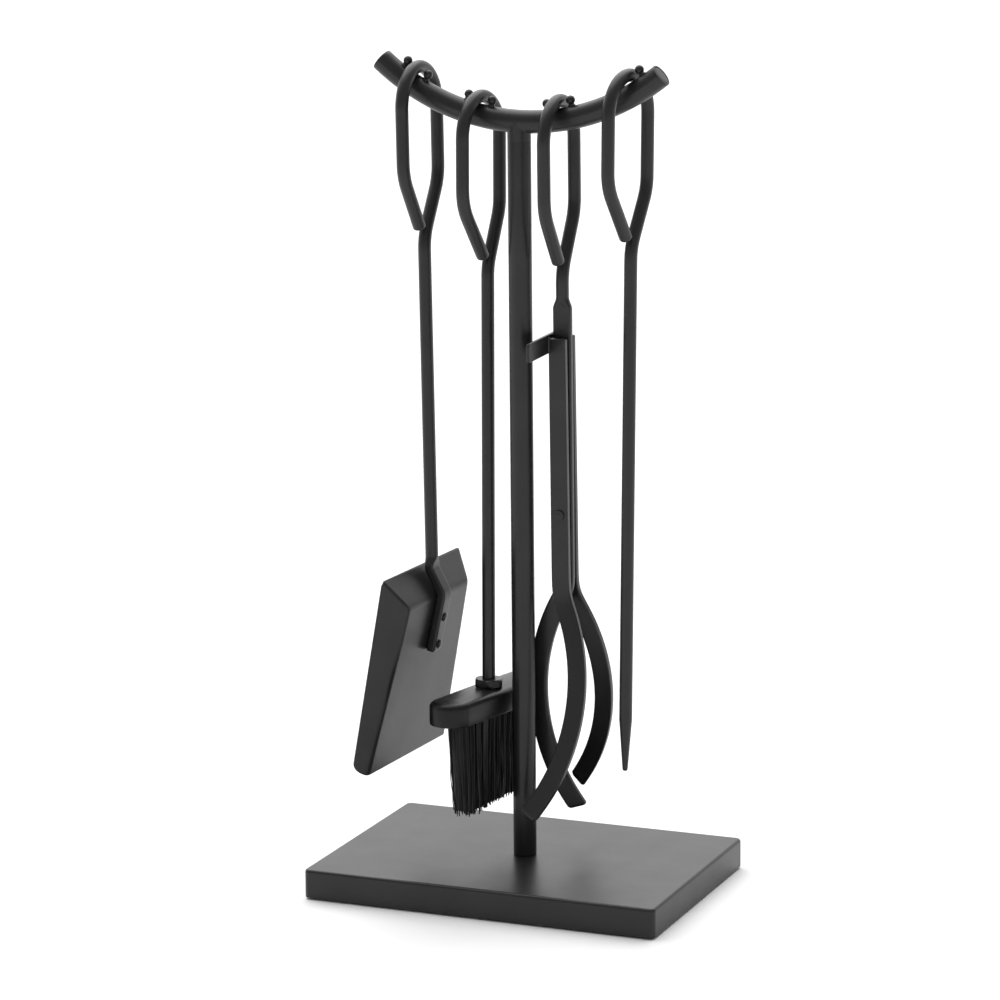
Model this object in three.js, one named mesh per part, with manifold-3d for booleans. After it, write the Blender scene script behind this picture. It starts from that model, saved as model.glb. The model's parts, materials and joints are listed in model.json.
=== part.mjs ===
// Fireplace tool set: a stand with a curved crossbar, and a shovel, a brush, three-pronged tongs and a poker
// that hang on it by their loop handles.
// Millimetres, +Z up. The origin is the centre of the base at floor level. +X runs along the crossbar from the
// shovel to the poker, and +Y points to the back.
import * as THREE from 'three';
import { mergeVertices } from 'three/addons/utils/BufferGeometryUtils.js';
import { ConvexGeometry } from 'three/addons/geometries/ConvexGeometry.js';
import Module from 'manifold-3d';

const wasm = await Module();
wasm.setup();

const degrees = THREE.MathUtils.degToRad;

// ---- Driving dimensions ----

const GAP = 0.3; // left between pieces that touch
const TUBE_WALL = 2;

const BASE = { length: 360, depth: 250, bottom: 1.5, top: 30, wall: 2, edge: 3 };
const BASE_PLATE = { bottom: 2.5, thickness: 2 };
const FOOT = { radius: 12, inset: 30 };
const POST_RADIUS = 11;
const PLUG_LENGTH = 20;
const BOLT = { radius: 4, headRadius: 7.5, headHeight: 5.5, length: 20 };
const WASHER = { radius: 10, thickness: 1.8 };

const BAR = { radius: 11, middle: 744.4, bend: 221, halfSpan: degrees(39.8), tilt: degrees(1.3) };
const BAR_CAP_THICKNESS = 4;
const PEG = { ballRadius: 4.3, stemRadius: 2.7, height: 9.8, halfSpacing: degrees(3.4) };

const ROD_RADIUS = 6;
const HANG_GAP = 0.8; // between a loop and the crossbar
const LOOP = {
  archRadius: 38,
  frontBend: 101,
  rearBend: 108,
  rodStart: 162,
  frontEnd: 152,
  legBend: 25,
};

// Where each tool hangs along the crossbar, and how it hangs there: turned about the vertical, leaning to the
// back and tilting to the right. rodOffset is how far its rod lies behind the middle of its loop.
const HANG = {
  shovel: { along: degrees(-30.5), turn: degrees(2), lean: degrees(-0.5), tilt: degrees(0.9), rodOffset: 4 },
  brush: { along: degrees(-11.1), turn: degrees(4.5), lean: degrees(-1.5), tilt: degrees(0.3), rodOffset: 13 },
  tongs: { along: degrees(11.2), turn: degrees(0.3), lean: degrees(1.6), tilt: degrees(-0.4), rodOffset: 5 },
  poker: { along: degrees(32.3), turn: degrees(8), lean: degrees(-1), tilt: degrees(-0.35), rodOffset: 8 },
};

// Depths below are measured down from the crossbar's centre line where the tool hangs.
const PAN = {
  depth: 490.5,
  offset: 7.5,
  slope: degrees(13.6),
  length: 167.7,
  rearHalfWidth: 67,
  mouthHalfWidth: 86,
  rearWall: 25,
  mouthWall: 12,
  rearFlare: 0.96,
  sideFlare: 0.86,
  sheet: 2,
};
const STRAP = { width: 17, thickness: 9, forgedFrom: 452, bendTop: 460, end: 56, flatten: 9 };
const RIVET = { radius: 3, headRadius: 4.2, headHeight: 2, places: [20, 48] };

const BRUSH_HEAD = { depth: 553, length: 178, width: 42, height: 24, edge: 5, socket: 16, turn: degrees(4.5) };
const BRUSH_NUT = { radius: 15, height: 7.5 };
const BRISTLES = { length: 122, width: 32, height: 93, taper: 0.87, backFlare: 1.05 };

const TONGS = {
  flareFrom: 169,
  flareTo: 180,
  armTop: 207,
  rivet: 378,
  armTopWidth: 17,
  armTopShift: -1,
  armWidth: 17.8,
  centreWidth: 18.2,
  armThickness: 7,
  centreThickness: 7,
  spacing: 10.5,
};
const OUTER_PRONG = { from: 459, kink: degrees(28.8), radius: 202, length: 226, splay: degrees(14.8) };
const CENTRE_PRONG = { from: 455, kink: degrees(32.4), radius: 187, length: 231 };
const LEVER = { depth: 213, height: 18, thickness: 3.5, reach: 45 };
const TONGS_PIN = { radius: 3, headRadius: 5, headHeight: 1.6, washerRadius: 7, washerThickness: 2.9 };

const POKER = { taperFrom: 595, tip: 646, tipRadius: 2.5 };

const ROD_SIDES = 12;
const BAR_SIDES = 24;

// ---- Materials ----

function painted(shade, roughness) {
  return new THREE.MeshStandardMaterial({ color: new THREE.Color(shade, shade, shade), roughness, metalness: 0 });
}

const blackPaint = () => painted(0.035, 0.45);
const blackLacquer = () => painted(0.02, 0.3);
const blackBristle = () => painted(0.01, 0.6);
const blackRubber = () => painted(0.02, 0.85);
const zincPlate = () => new THREE.MeshStandardMaterial({ color: 0xa8a8a4, roughness: 0.4, metalness: 1 });

// ---- Solids ----

function solidOf(geometry) {
  const bare = geometry.clone();
  bare.deleteAttribute('normal');
  bare.deleteAttribute('uv');
  const merged = mergeVertices(bare, 1e-4);
  const positions = new Float32Array(merged.attributes.position.array);
  const triangles = new Uint32Array(merged.index.array);
  return new wasm.Manifold(new wasm.Mesh({ numProp: 3, vertProperties: positions, triVerts: triangles }));
}

function geometryOf(solid) {
  const mesh = solid.getMesh();
  const geometry = new THREE.BufferGeometry();
  geometry.setAttribute('position', new THREE.BufferAttribute(new Float32Array(mesh.vertProperties), 3));
  geometry.setIndex(new THREE.BufferAttribute(new Uint32Array(mesh.triVerts), 1));
  return geometry;
}

function join(...geometries) {
  return geometryOf(geometries.map(solidOf).reduce((whole, piece) => whole.add(piece)));
}

function cut(geometry, ...tools) {
  return geometryOf(tools.map(solidOf).reduce((whole, tool) => whole.subtract(tool), solidOf(geometry)));
}

function named(name, geometry, material) {
  const mesh = new THREE.Mesh(geometry, material);
  mesh.name = name;
  return mesh;
}

// ---- Shapes ----

// A round bar standing on the XY plane.
function uprightBar(radius, height, sides = BAR_SIDES, topRadius = radius) {
  const geometry = new THREE.CylinderGeometry(topRadius, radius, height, sides);
  return geometry.rotateX(Math.PI / 2).translate(0, 0, height / 2);
}

function block(width, depth, height) {
  return new THREE.BoxGeometry(width, depth, height);
}

function circle(radius) {
  const shape = new THREE.Shape();
  shape.absarc(0, 0, radius, 0, 2 * Math.PI);
  return shape;
}

function ring(radius, holeRadius) {
  const shape = circle(radius);
  const hole = new THREE.Path();
  hole.absarc(0, 0, holeRadius, 0, 2 * Math.PI);
  shape.holes.push(hole);
  return shape;
}

// A long outline with round ends, lying along Y.
function stadium(length, width) {
  const radius = width / 2;
  const end = length / 2 - radius;
  const shape = new THREE.Shape();
  shape.absarc(0, end, radius, 0, Math.PI);
  shape.absarc(0, -end, radius, Math.PI, 2 * Math.PI);
  return shape;
}

function roundedRectangle(width, height, radius) {
  const x = width / 2 - radius;
  const y = height / 2 - radius;
  const shape = new THREE.Shape();
  shape.absarc(x, y, radius, 0, Math.PI / 2);
  shape.absarc(-x, y, radius, Math.PI / 2, Math.PI);
  shape.absarc(-x, -y, radius, Math.PI, 1.5 * Math.PI);
  shape.absarc(x, -y, radius, 1.5 * Math.PI, 2 * Math.PI);
  return shape;
}

function extruded(shape, depth, curveSegments = 8) {
  return new THREE.ExtrudeGeometry(shape, { depth, bevelEnabled: false, curveSegments });
}

// An extrusion with rounded edges. size is its whole height, edges included.
function softExtruded(shape, size, edge, curveSegments = 4) {
  return new THREE.ExtrudeGeometry(shape, {
    depth: size - 2 * edge,
    bevelThickness: edge,
    bevelSize: edge,
    bevelOffset: -edge,
    bevelSegments: 3,
    curveSegments,
  }).translate(0, 0, edge);
}

// The points of a line through the corners, with an arc at each corner between the two ends.
function roundedLine(corners, radii, turnStep = degrees(15)) {
  const points = [corners[0]];
  radii.forEach((radius, i) => {
    const corner = corners[i + 1];
    const back = corners[i].clone().sub(corner).normalize();
    const ahead = corners[i + 2].clone().sub(corner).normalize();
    const turn = Math.PI - back.angleTo(ahead);
    const middle = back.clone().add(ahead).normalize();
    const centre = corner.clone().addScaledVector(middle, radius / Math.cos(turn / 2));
    const spoke = corner.clone().addScaledVector(back, radius * Math.tan(turn / 2)).sub(centre);
    const axis = back.clone().negate().cross(ahead).normalize();
    const steps = Math.ceil(turn / turnStep);
    for (let step = 0; step <= steps; step++) {
      points.push(spoke.clone().applyAxisAngle(axis, (turn * step) / steps).add(centre));
    }
  });
  points.push(corners.at(-1));
  return points.filter((point, i) => i === 0 || point.distanceTo(points[i - 1]) > 0.01);
}

// A line through given points. Its parameter counts the points, so a straight stretch takes one step.
class PointPath extends THREE.Curve {
  constructor(points) {
    super();
    this.points = points;
  }

  getPoint(t, target = new THREE.Vector3()) {
    const place = t * (this.points.length - 1);
    const i = Math.min(Math.floor(place), this.points.length - 2);
    return target.lerpVectors(this.points[i], this.points[i + 1], place - i);
  }

  getPointAt(u, target) {
    return this.getPoint(u, target);
  }

  getTangentAt(u, target) {
    return this.getTangent(u, target);
  }
}

function sweep(shape, points, curveSegments) {
  const steps = points.length - 1;
  return new THREE.ExtrudeGeometry(shape, { steps, extrudePath: new PointPath(points), curveSegments });
}

// ---- Crossbar line ----

const barCentre = new THREE.Vector3(
  BAR.bend * Math.sin(BAR.tilt),
  0,
  BAR.middle + BAR.bend * Math.cos(BAR.tilt),
);

// A point over or under the crossbar's centre line, at an angle along its bend from the post.
function overBar(along, height) {
  const angle = along - BAR.tilt;
  const radius = BAR.bend - height;
  return new THREE.Vector3(
    barCentre.x + radius * Math.sin(angle),
    0,
    barCentre.z - radius * Math.cos(angle),
  );
}

function barLine(fromAngle, toAngle, steps) {
  return Array.from({ length: steps + 1 }, (_, i) => overBar(fromAngle + ((toAngle - fromAngle) * i) / steps, 0));
}

// Turns a piece built along Z so that it stands square on the crossbar.
function standOnBar(object, along, height) {
  object.position.copy(overBar(along, height));
  object.rotation.y = BAR.tilt - along;
  return object;
}

// ---- Stand ----

function baseShell() {
  const height = BASE.top - BASE.bottom;
  const outline = roundedRectangle(BASE.length, BASE.depth, 2 * BASE.edge);
  const body = softExtruded(outline, height, BASE.edge).translate(0, 0, BASE.bottom);
  const roof = BASE.top - BASE.wall;
  const hollow = block(BASE.length - 2 * BASE.wall, BASE.depth - 2 * BASE.wall, roof).translate(0, 0, roof / 2);
  const boltHole = uprightBar(BOLT.radius + GAP, BASE.top + 1);
  return cut(body, hollow, boltHole);
}

function basePlate() {
  const fit = 2 * (BASE.wall + GAP);
  const middle = BASE_PLATE.bottom + BASE_PLATE.thickness / 2;
  return block(BASE.length - fit, BASE.depth - fit, BASE_PLATE.thickness).translate(0, 0, middle);
}

function foot() {
  return uprightBar(FOOT.radius, BASE_PLATE.bottom - GAP, 16);
}

function post() {
  const tube = extruded(ring(POST_RADIUS, POST_RADIUS - TUBE_WALL), BAR.middle - BASE.top - GAP, BAR_SIDES);
  const nearPost = degrees(12);
  const bar = sweep(circle(BAR.radius + GAP), barLine(-nearPost, nearPost, 6), BAR_SIDES);
  return cut(tube.translate(0, 0, BASE.top + GAP), bar);
}

function postPlug() {
  const shape = ring(POST_RADIUS - TUBE_WALL - GAP, BOLT.radius + GAP);
  return extruded(shape, PLUG_LENGTH, BAR_SIDES).translate(0, 0, BASE.top + 2 * GAP);
}

function postWasher() {
  const top = BASE.top - BASE.wall - GAP;
  const shape = ring(WASHER.radius, BOLT.radius + GAP);
  return extruded(shape, WASHER.thickness, 16).translate(0, 0, top - WASHER.thickness);
}

function postBolt() {
  const headTop = BASE.top - BASE.wall - WASHER.thickness - 2 * GAP;
  const head = uprightBar(BOLT.headRadius, BOLT.headHeight, 6).translate(0, 0, headTop - BOLT.headHeight);
  const shank = uprightBar(BOLT.radius, BOLT.length + 1, 16).translate(0, 0, headTop - 1);
  return join(head, shank);
}

function crossbar() {
  const section = ring(BAR.radius, BAR.radius - TUBE_WALL);
  return sweep(section, barLine(-BAR.halfSpan, BAR.halfSpan, 16), BAR_SIDES / 2);
}

function crossbarCap() {
  return uprightBar(BAR.radius - TUBE_WALL - GAP, BAR_CAP_THICKNESS).translate(0, 0, -BAR_CAP_THICKNESS - GAP);
}

// A stem with a ball on top. Its origin is on the crossbar's surface.
function peg() {
  const { ballRadius, stemRadius, height } = PEG;
  const ballCentre = height - ballRadius;
  const neck = Math.asin(stemRadius / ballRadius);
  const profile = new THREE.Path();
  profile.moveTo(0, GAP);
  profile.lineTo(stemRadius, GAP);
  profile.absarc(0, ballCentre, ballRadius, neck - Math.PI / 2, Math.PI / 2);
  const points = profile.getPoints(6);
  return new THREE.LatheGeometry(points, 10).rotateX(Math.PI / 2);
}

function stand() {
  const group = new THREE.Group();
  group.add(named('base_shell', baseShell(), blackPaint()));
  group.add(named('base_plate', basePlate(), blackPaint()));
  const footX = BASE.length / 2 - FOOT.inset;
  const footY = BASE.depth / 2 - FOOT.inset;
  [[-1, -1], [1, -1], [1, 1], [-1, 1]].forEach(([sideX, sideY], i) => {
    const pad = named(`foot_${i + 1}`, foot(), blackRubber());
    pad.position.set(sideX * footX, sideY * footY, 0);
    group.add(pad);
  });
  group.add(named('post', post(), blackPaint()));
  group.add(named('post_plug', postPlug(), zincPlate()));
  group.add(named('post_washer', postWasher(), zincPlate()));
  group.add(named('post_bolt', postBolt(), zincPlate()));
  group.add(named('crossbar', crossbar(), blackPaint()));
  for (const [side, name] of [[-1, 'crossbar_cap_left'], [1, 'crossbar_cap_right']]) {
    const cap = named(name, crossbarCap(), blackPaint());
    cap.position.copy(overBar(side * BAR.halfSpan, 0));
    cap.rotation.y = BAR.tilt - side * BAR.halfSpan + (side * Math.PI) / 2;
    group.add(cap);
  }
  const pegPlaces = Object.values(HANG).flatMap(({ along }) => [along - PEG.halfSpacing, along + PEG.halfSpacing]);
  pegPlaces.forEach((along, i) => {
    group.add(standOnBar(named(`peg_${i + 1}`, peg(), blackPaint()), along, BAR.radius));
  });
  return group;
}

// ---- Loop handles ----

// The point of the crossbar's centre line that a tool swings about: straight under the top of its loop.
function pivotOf(hang) {
  const top = overBar(hang.along, BAR.radius + ROD_RADIUS + HANG_GAP);
  const across = top.x - barCentre.x;
  return new THREE.Vector3(top.x, 0, barCentre.z - Math.sqrt(BAR.bend ** 2 - across ** 2));
}

// The loop and rod in the tool's own frame, whose origin is its pivot: one bar that is bent over the crossbar,
// with its short end welded to the front of the rod.
function loopHandle(hang, rodEnd) {
  const top = overBar(hang.along, BAR.radius + ROD_RADIUS + HANG_GAP).z - pivotOf(hang).z;
  const at = (y, below) => new THREE.Vector3(0, y, top - below);
  const weld = at(hang.rodOffset - 1.6 * ROD_RADIUS, LOOP.frontEnd);
  const corners = [
    weld,
    at(-LOOP.archRadius, LOOP.frontBend),
    at(-LOOP.archRadius, 0),
    at(LOOP.archRadius, 0),
    at(LOOP.archRadius, LOOP.rearBend),
    at(hang.rodOffset, LOOP.rodStart),
    new THREE.Vector3(0, hang.rodOffset, -rodEnd),
  ];
  const radii = [LOOP.legBend, LOOP.archRadius, LOOP.archRadius, LOOP.legBend, LOOP.legBend];
  const points = roundedLine(corners, radii);
  const fromRod = Math.floor(points.length / 2);
  const frontHalf = sweep(circle(ROD_RADIUS), points.slice(0, fromRod + 1), ROD_SIDES / 2);
  const rearHalf = sweep(circle(ROD_RADIUS), points.slice(fromRod), ROD_SIDES / 2);
  return join(frontHalf, rearHalf);
}

// Places a tool's frame on the crossbar.
function hung(hang, ...meshes) {
  const group = new THREE.Group();
  group.position.copy(pivotOf(hang));
  group.rotation.set(hang.lean, -hang.tilt, -hang.turn, 'ZYX');
  group.add(...meshes);
  return group;
}

// ---- Shovel ----

// A point of the pan: down the slope from its rear edge, across it, and in from its outer face.
function panPoint(down, across, inward) {
  const sin = Math.sin(PAN.slope);
  const cos = Math.cos(PAN.slope);
  return new THREE.Vector3(
    PAN.offset - down * sin - inward * cos,
    HANG.shovel.rodOffset + across,
    -PAN.depth - down * cos + inward * sin,
  );
}

function mirrored(points) {
  return points.flatMap(([down, across, inward]) => [
    panPoint(down, across, inward),
    panPoint(down, -across, inward),
  ]);
}

// The pan's half width at a place down its slope and in from its outer face.
function panHalfWidth(down, inward) {
  const widening = (PAN.mouthHalfWidth - PAN.rearHalfWidth) / PAN.length;
  return PAN.rearHalfWidth + widening * down + PAN.sideFlare * inward;
}

// A tray with a sloping rear wall and two sloping side walls, open at the mouth.
function shovelPan() {
  const { sheet, length, rearWall, mouthWall, rearFlare, sideFlare } = PAN;
  const body = new ConvexGeometry(mirrored([
    [0, panHalfWidth(0, 0), 0],
    [length, panHalfWidth(length, 0), 0],
    [-rearFlare * rearWall, panHalfWidth(-rearFlare * rearWall, rearWall), rearWall],
    [length, panHalfWidth(length, mouthWall), mouthWall],
  ]));
  const rearInset = sheet * Math.hypot(1, rearFlare);
  const sideInset = sheet * Math.hypot(1, sideFlare);
  const pastMouth = length + 5;
  const pastRim = 2 * rearWall;
  const hollow = new ConvexGeometry(mirrored([sheet, pastRim].flatMap((inward) => {
    const rear = rearInset - rearFlare * inward;
    return [rear, pastMouth].map((down) => [down, panHalfWidth(down, inward) - sideInset, inward]);
  })));
  return cut(body, hollow, ...RIVET.places.map((down) => rivetBar(down, RIVET.radius + GAP, -20, 20)));
}

// A round bar square to the pan's bottom, from one level to another.
function rivetBar(down, radius, from, to) {
  const start = panPoint(down, 0, from);
  const bar = uprightBar(radius, to - from, 10);
  bar.rotateY(PAN.slope - Math.PI / 2);
  return bar.translate(start.x, start.y, start.z);
}

function shovelRivet(down) {
  const outer = -STRAP.thickness - GAP;
  const inner = PAN.sheet;
  return join(
    rivetBar(down, RIVET.radius, outer - 1.5 * GAP, inner + 1.5 * GAP),
    rivetBar(down, RIVET.headRadius, outer - GAP - RIVET.headHeight, outer - GAP),
    rivetBar(down, RIVET.headRadius, inner + GAP, inner + GAP + RIVET.headHeight),
  );
}

// The rod is forged flat at its foot, steps out over the rear wall and lies along the outside of the pan.
function shovelHandle() {
  const onPan = (down) => panPoint(down, 0, -STRAP.thickness / 2 - GAP);
  const flatStart = new THREE.Vector3(0, HANG.shovel.rodOffset, -STRAP.forgedFrom - STRAP.flatten);
  const flatBend = new THREE.Vector3(0, HANG.shovel.rodOffset, -STRAP.bendTop - STRAP.flatten / 2);
  const strapLine = roundedLine([flatStart, flatBend, onPan(-3), onPan(STRAP.end)], [6, 12], degrees(12));
  const strap = sweep(roundedRectangle(STRAP.width, STRAP.thickness, 1.5), strapLine, 2);
  const neck = taperedNeck(-STRAP.forgedFrom, STRAP.flatten + 1, STRAP.thickness, STRAP.width);
  const whole = join(
    loopHandle(HANG.shovel, STRAP.forgedFrom + 1),
    neck.translate(0, HANG.shovel.rodOffset, 0),
    strap,
  );
  return cut(whole, ...RIVET.places.map((down) => rivetBar(down, RIVET.radius + GAP, -20, 20)));
}

// Where a round rod is forged to a flat: a hull from the round to the rectangle.
function taperedNeck(top, length, width, depth) {
  const points = [];
  for (let side = 0; side < ROD_SIDES; side++) {
    const angle = (2 * Math.PI * side) / ROD_SIDES;
    points.push(new THREE.Vector3(ROD_RADIUS * Math.cos(angle), ROD_RADIUS * Math.sin(angle), top));
  }
  for (const [sideX, sideY] of [[1, 1], [1, -1], [-1, 1], [-1, -1]]) {
    points.push(new THREE.Vector3((sideX * width) / 2, (sideY * depth) / 2, top - length));
  }
  return new ConvexGeometry(points);
}

function shovel() {
  return hung(
    HANG.shovel,
    named('shovel_handle', shovelHandle(), blackPaint()),
    named('shovel_pan', shovelPan(), blackPaint()),
    ...RIVET.places.map((down, i) => named(`shovel_rivet_${i + 1}`, shovelRivet(down), blackPaint())),
  );
}

// ---- Brush ----

// Turns a piece about the brush's rod, as the head is screwed on, and places it along the rod.
function onBrushRod(geometry, level) {
  return geometry.rotateZ(-BRUSH_HEAD.turn).translate(0, HANG.brush.rodOffset, level);
}

function brushHead() {
  const { depth, length, width, height, edge, socket } = BRUSH_HEAD;
  const head = softExtruded(stadium(length, width), height, edge, 10);
  const hole = uprightBar(ROD_RADIUS + GAP, socket + 1).translate(0, 0, height - socket);
  return onBrushRod(cut(head, hole), -depth - height);
}

function brushNut() {
  const hole = uprightBar(ROD_RADIUS + GAP, BRUSH_NUT.height + 2).translate(0, 0, -1);
  const nut = cut(uprightBar(BRUSH_NUT.radius, BRUSH_NUT.height, 6), hole);
  return onBrushRod(nut, GAP - BRUSH_HEAD.depth);
}

function brushBristles() {
  const { length, width, height, taper, backFlare } = BRISTLES;
  const bundle = extruded(stadium(length, width), height, 8);
  const positions = bundle.attributes.position;
  for (let i = 0; i < positions.count; i++) {
    if (positions.getZ(i) > height / 2) continue;
    const lengthwise = positions.getY(i) < 0 ? taper : backFlare;
    positions.setXY(i, positions.getX(i) * taper, positions.getY(i) * lengthwise);
  }
  const top = -BRUSH_HEAD.depth - BRUSH_HEAD.height - GAP;
  return onBrushRod(bundle, top - height);
}

function brush() {
  const rodEnd = BRUSH_HEAD.depth + BRUSH_HEAD.socket - GAP;
  return hung(
    HANG.brush,
    named('brush_handle', loopHandle(HANG.brush, rodEnd), blackPaint()),
    named('brush_nut', brushNut(), blackPaint()),
    named('brush_head', brushHead(), blackLacquer()),
    named('brush_bristles', brushBristles(), blackBristle()),
  );
}

// ---- Tongs ----

// A flat prong in the XZ plane. It leaves the origin downwards at an angle to the right and curves back to the
// left, and its head is rounded below the origin.
function prong({ kink, radius, length }, width, thickness) {
  const centreX = -radius * Math.cos(kink);
  const centreY = -radius * Math.sin(kink);
  const end = kink - length / radius;
  const shape = new THREE.Shape();
  shape.absarc(centreX, centreY, radius + width / 2, kink, end, true);
  shape.absarc(centreX, centreY, radius - width / 2, end, kink, false);
  const head = new THREE.Shape();
  head.absarc(0, 0, width / 2, Math.PI, 2 * Math.PI);
  const upright = (geometry) => geometry.translate(0, 0, -thickness / 2).rotateX(Math.PI / 2);
  return join(upright(extruded(shape, thickness, 12)), upright(extruded(head, thickness, 10)));
}

function pinBar(radius, length, middleY = 0) {
  const bar = uprightBar(radius, length, 16).translate(0, 0, -length / 2).rotateX(Math.PI / 2);
  return bar.translate(0, HANG.tongs.rodOffset + middleY, -TONGS.rivet);
}

// The flat bar that is welded to the foot of the handle's rod, and runs on as the centre prong.
function tongsCentreArm() {
  const { flareFrom, flareTo, centreWidth, centreThickness } = TONGS;
  const kink = CENTRE_PRONG.from;
  const flatLength = kink - flareTo;
  const neck = taperedNeck(-flareFrom - GAP, flareTo - flareFrom - GAP, centreWidth, centreThickness);
  const flat = block(centreWidth, centreThickness, flatLength + 1).translate(0, 0, (1 - flatLength) / 2 - flareTo);
  const centreProng = prong(CENTRE_PRONG, centreWidth, centreThickness).rotateZ(Math.PI).translate(0, 0, -kink);
  const arm = join(neck, flat, centreProng).translate(0, HANG.tongs.rodOffset, 0);
  return cut(arm, pinBar(TONGS_PIN.radius + GAP, 40));
}

// An outer arm: side is -1 for the front one and 1 for the back one. It widens a little down to its kink, where
// it splays outwards.
function tongsArm(side) {
  const { armTop, armTopWidth, armTopShift, armWidth, armThickness, spacing } = TONGS;
  const kink = OUTER_PRONG.from;
  const length = kink - armTop;
  const outline = new THREE.Shape([
    new THREE.Vector2(-armWidth / 2, -1),
    new THREE.Vector2(armWidth / 2, -1),
    new THREE.Vector2(armTopShift + armTopWidth / 2, length),
    new THREE.Vector2(armTopShift - armTopWidth / 2, length),
  ]);
  const flat = extruded(outline, armThickness).translate(0, 0, -armThickness / 2).rotateX(Math.PI / 2);
  const lower = prong(OUTER_PRONG, armWidth, armThickness).rotateX(side * OUTER_PRONG.splay);
  const arm = join(flat, lower).translate(0, HANG.tongs.rodOffset + side * spacing, -kink);
  return cut(arm, pinBar(TONGS_PIN.radius + GAP, 60));
}

// The strip across the left edges of the two outer arms, reaching forward as the thumb lever.
function tongsLever() {
  const { depth, height, thickness, reach } = LEVER;
  const back = TONGS.spacing + TONGS.armThickness / 2;
  const length = reach + 2 * back;
  const x = TONGS.armTopShift - TONGS.armTopWidth / 2 - 2 * GAP - thickness / 2;
  const strip = softExtruded(roundedRectangle(height, length, 3), thickness, 0.8, 3).translate(0, 0, -thickness / 2);
  return strip.rotateY(Math.PI / 2).translate(x, HANG.tongs.rodOffset + back - length / 2, -depth);
}

function tongsPin() {
  const half = TONGS.spacing + TONGS.armThickness / 2 + GAP;
  const { radius, headRadius, headHeight } = TONGS_PIN;
  const headMiddle = half + headHeight / 2;
  return join(
    pinBar(radius, 2 * half + headHeight),
    pinBar(headRadius, headHeight, -headMiddle),
    pinBar(headRadius, headHeight, headMiddle),
  );
}

function tongsWasher(side) {
  const { radius, washerRadius, washerThickness } = TONGS_PIN;
  const inner = TONGS.centreThickness / 2;
  const outer = TONGS.spacing - TONGS.armThickness / 2;
  return cut(pinBar(washerRadius, washerThickness, (side * (inner + outer)) / 2), pinBar(radius + GAP, 60));
}

function tongs() {
  return hung(
    HANG.tongs,
    named('tongs_handle', loopHandle(HANG.tongs, TONGS.flareFrom), blackPaint()),
    named('tongs_centre_arm', tongsCentreArm(), blackPaint()),
    named('tongs_front_arm', tongsArm(-1), blackPaint()),
    named('tongs_back_arm', tongsArm(1), blackPaint()),
    named('tongs_lever', tongsLever(), blackPaint()),
    named('tongs_pin', tongsPin(), blackPaint()),
    named('tongs_washer_front', tongsWasher(-1), blackPaint()),
    named('tongs_washer_back', tongsWasher(1), blackPaint()),
  );
}

// ---- Poker ----

function poker() {
  const point = uprightBar(POKER.tipRadius, POKER.tip - POKER.taperFrom, ROD_SIDES, ROD_RADIUS);
  const whole = join(
    loopHandle(HANG.poker, POKER.taperFrom + 0.5),
    point.translate(0, HANG.poker.rodOffset, -POKER.tip),
  );
  return hung(HANG.poker, named('poker', whole, blackPaint()));
}

const toolSet = new THREE.Group();
toolSet.add(stand(), shovel(), brush(), tongs(), poker());

export default toolSet;
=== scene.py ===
"""Fireplace tool set: the finer pieces, materials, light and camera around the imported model.

Lengths in this script are metres. A tool is built in its own frame: the origin is the point of the crossbar's
centre line that it swings about, +X points along the crossbar and -Z down the rod.
"""

import json
import math
import random

import bmesh
import bpy
from mathutils import Matrix, Vector, noise


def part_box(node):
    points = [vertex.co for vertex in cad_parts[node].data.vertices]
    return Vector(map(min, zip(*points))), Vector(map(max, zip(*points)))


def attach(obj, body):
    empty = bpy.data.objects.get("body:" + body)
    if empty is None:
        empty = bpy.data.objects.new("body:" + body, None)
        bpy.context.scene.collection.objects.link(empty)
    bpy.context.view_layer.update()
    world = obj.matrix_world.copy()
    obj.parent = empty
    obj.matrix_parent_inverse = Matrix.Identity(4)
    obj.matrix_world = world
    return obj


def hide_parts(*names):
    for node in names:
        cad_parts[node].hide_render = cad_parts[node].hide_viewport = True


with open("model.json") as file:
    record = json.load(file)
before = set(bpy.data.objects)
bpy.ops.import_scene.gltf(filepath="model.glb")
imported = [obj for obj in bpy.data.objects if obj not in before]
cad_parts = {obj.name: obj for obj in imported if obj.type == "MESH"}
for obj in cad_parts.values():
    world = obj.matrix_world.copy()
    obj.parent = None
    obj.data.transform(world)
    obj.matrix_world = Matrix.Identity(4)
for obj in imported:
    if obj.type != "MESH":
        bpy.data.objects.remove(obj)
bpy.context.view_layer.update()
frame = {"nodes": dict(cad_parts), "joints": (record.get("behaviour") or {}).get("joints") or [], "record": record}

MM = 0.001

X_AXIS = Vector((1, 0, 0))
Y_AXIS = Vector((0, 1, 0))
Z_AXIS = Vector((0, 0, 1))

# ---- Driving dimensions ----

POST_RADIUS = 11.2 * MM
ROD_RADIUS = 6 * MM
WELDED_RADIUS = ROD_RADIUS + 0.3 * MM  # smoothing a welded bar takes this much off it
HANG_GAP = 0.8 * MM

BAR = {
    "radius": 11 * MM,
    "middle": 744.4 * MM,
    "bend": 221 * MM,
    "half_span": math.radians(39.8),
    "tilt": math.radians(1.3),
}
BAR_CENTRE = Vector((
    BAR["bend"] * math.sin(BAR["tilt"]),
    0,
    BAR["middle"] + BAR["bend"] * math.cos(BAR["tilt"]),
))
PEG = {"ball": 4.3 * MM, "stem": 2.7 * MM, "height": 9.8 * MM, "half_spacing": math.radians(3.4)}

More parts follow.
